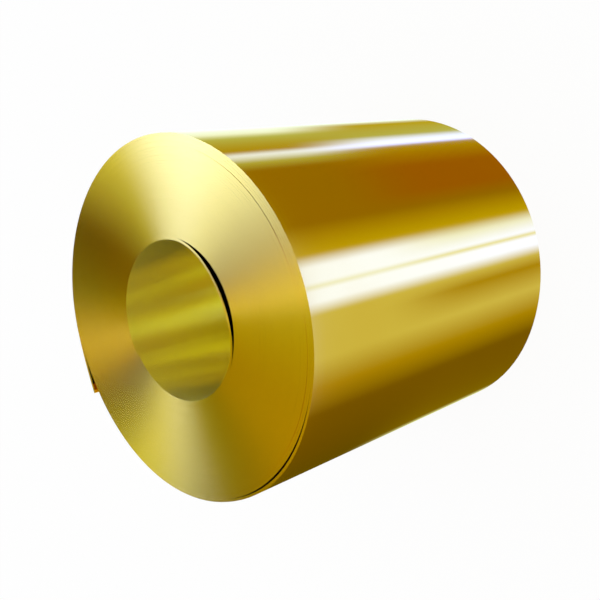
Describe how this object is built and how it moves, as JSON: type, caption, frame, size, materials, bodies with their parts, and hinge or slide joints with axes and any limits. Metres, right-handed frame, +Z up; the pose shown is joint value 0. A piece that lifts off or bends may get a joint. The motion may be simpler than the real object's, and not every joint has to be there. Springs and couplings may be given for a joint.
{
  "type": "brass coil",
  "caption": "Coil of polished brass strip standing on its end, with an open bore, a sprung free end and a buckled inner turn.",
  "frame": {"origin": "on the coil's axis, on the plane of its back end, which rests on the floor", "axes": "+Z up along the axis, towards the end with the buckled inner turn"},
  "size_m": [1.1479, 1.1464, 1.219],
  "materials": {
    "brass_strip": "bright rolled faces, satin slit edges on the ends"
  },
  "bodies": {
    "root": {"strip_coil": "brass_strip"}
  },
  "joints": []
}
